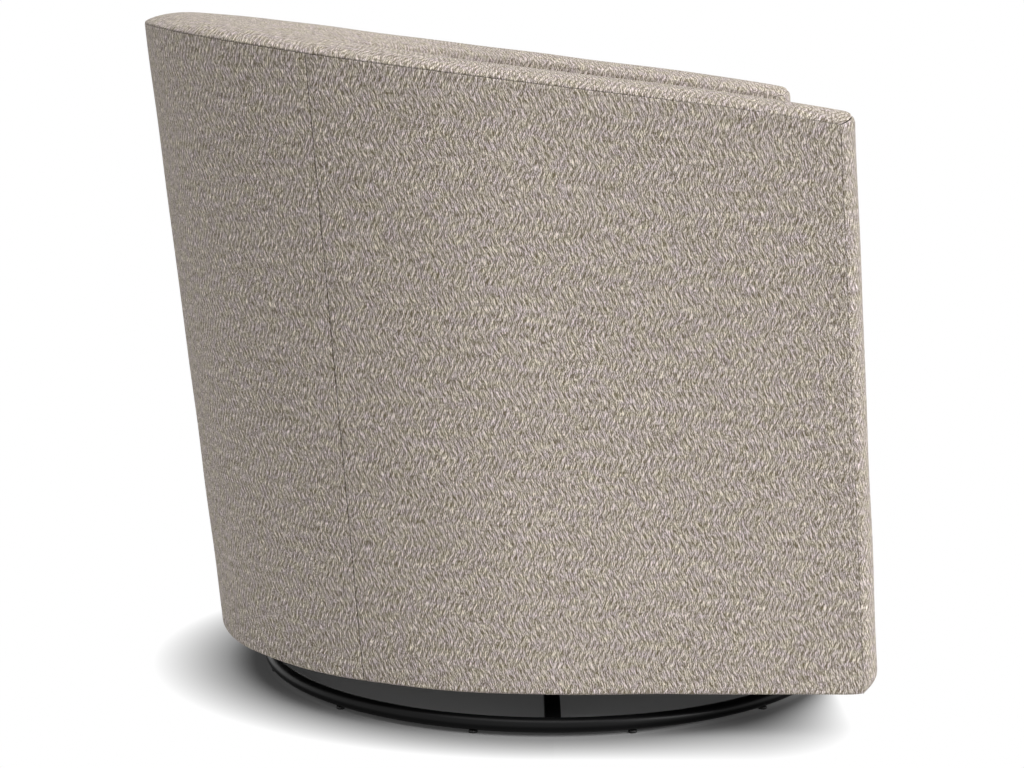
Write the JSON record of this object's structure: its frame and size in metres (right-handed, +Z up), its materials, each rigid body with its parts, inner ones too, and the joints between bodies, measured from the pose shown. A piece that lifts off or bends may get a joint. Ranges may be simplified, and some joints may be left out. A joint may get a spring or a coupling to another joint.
{
  "type": "swivel glider barrel chair",
  "caption": "Upholstered barrel armchair whose body glides on four hanging links over a ball-race swivel on a round floor ring.",
  "frame": {"origin": "floor level under the middle of the chair's bounding box", "axes": "+Z up, the chair faces -Y, +X is the sitter's left; the swivel axis is at x 0, y -0.0596"},
  "size_m": [0.7, 0.8366, 0.7829],
  "materials": {
    "upholstery": "greige woven zigzag upholstery",
    "lining_cloth": "black non-woven lining",
    "black_steel": "satin black powder coat",
    "zinc_steel": "bright zinc plate",
    "spring_steel": "oiled spring wire",
    "glide_plastic": "black moulded",
    "bumper_rubber": "black moulded",
    "frame_timber": "sawn, unfinished"
  },
  "bodies": {
    "base": {"base_ring": "black_steel", "cross_bar": "black_steel", "half_bar_front": "black_steel", "half_bar_rear": "black_steel", "hub_plate": "black_steel", "foot_glide_01": "glide_plastic", "foot_glide_02": "glide_plastic", "foot_glide_03": "glide_plastic", "foot_glide_04": "glide_plastic", "foot_glide_05": "glide_plastic", "foot_glide_06": "glide_plastic", "foot_glide_07": "glide_plastic", "foot_glide_08": "glide_plastic", "foot_glide_09": "glide_plastic", "foot_glide_10": "glide_plastic", "foot_glide_11": "glide_plastic", "foot_glide_12": "glide_plastic", "bearing_lower_race": "zinc_steel", "kingpin": "zinc_steel"},
    "bearing_cage": {"ball_cage": "zinc_steel"},
    "swivel": {"swivel_plate": "zinc_steel", "front_hanger": "black_steel", "rear_hanger": "black_steel", "upper_pivot_rod_front": "zinc_steel", "upper_pivot_rod_rear": "zinc_steel"},
    "rear_left_link": {"link_rear_left": "zinc_steel"},
    "rear_right_link": {"link_rear_right": "zinc_steel"},
    "front_left_link": {"link_front_left": "zinc_steel"},
    "front_right_link": {"link_front_right": "zinc_steel"},
    "carriage": {"lower_pivot_rod_front": "zinc_steel", "lower_pivot_rod_rear": "zinc_steel", "carriage_rail_left": "zinc_steel", "carriage_rail_right": "zinc_steel", "stop_bumper_left": "bumper_rubber", "stop_bumper_right": "bumper_rubber", "cleat_front": "frame_timber", "cleat_rear": "frame_timber", "bottom_frame": "frame_timber", "front_rail": "frame_timber", "back_rail": "frame_timber", "seat_spring_1": "spring_steel", "seat_spring_2": "spring_steel", "seat_spring_3": "spring_steel", "seat_spring_4": "spring_steel", "top_rim": "frame_timber", "front_post_left": "frame_timber", "front_post_right": "frame_timber", "back_post_left": "frame_timber", "back_post_right": "frame_timber", "outer_back": "upholstery", "outer_side_left": "upholstery", "outer_side_right": "upholstery", "top_band": "upholstery", "arm_front_left": "upholstery", "arm_front_right": "upholstery", "inside_back": "upholstery", "seat_deck": "lining_cloth", "front_border": "upholstery", "seat_cushion": "upholstery", "dust_cover": "lining_cloth"}
  },
  "joints": [
    {"name": "swivel", "type": "hinge", "parent": "base", "child": "swivel", "pos_m": [0, -0.0596, 0.03], "axis": [0, 0, 1], "continuous": true},
    {"name": "cage_roll", "type": "hinge", "parent": "base", "child": "bearing_cage", "pos_m": [0, -0.0596, 0.03], "axis": [0, 0, 1], "continuous": true},
    {"name": "glide", "type": "hinge", "parent": "swivel", "child": "rear_left_link", "pos_m": [0.1407, 0.0304, 0.158], "axis": [1, 0, 0], "range_deg": [-20, 20]},
    {"name": "rear_right_swing", "type": "hinge", "parent": "swivel", "child": "rear_right_link", "pos_m": [-0.1407, 0.0304, 0.158], "axis": [1, 0, 0], "range_deg": [-20, 20]},
    {"name": "front_left_swing", "type": "hinge", "parent": "swivel", "child": "front_left_link", "pos_m": [0.1407, -0.1496, 0.158], "axis": [1, 0, 0], "range_deg": [-20, 20]},
    {"name": "front_right_swing", "type": "hinge", "parent": "swivel", "child": "front_right_link", "pos_m": [-0.1407, -0.1496, 0.158], "axis": [1, 0, 0], "range_deg": [-20, 20]},
    {"name": "carriage_level", "type": "hinge", "parent": "rear_left_link", "child": "carriage", "pos_m": [0.1407, 0.0304, 0.063], "axis": [1, 0, 0], "range_deg": [-20, 20]}
  ],
  "couplings": [
    {"joint": "cage_roll", "follows": "swivel", "ratio": 0.5},
    {"joint": "rear_right_swing", "follows": "glide", "ratio": 1},
    {"joint": "front_left_swing", "follows": "glide", "ratio": 1},
    {"joint": "front_right_swing", "follows": "glide", "ratio": 1},
    {"joint": "carriage_level", "follows": "glide", "ratio": -1}
  ]
}
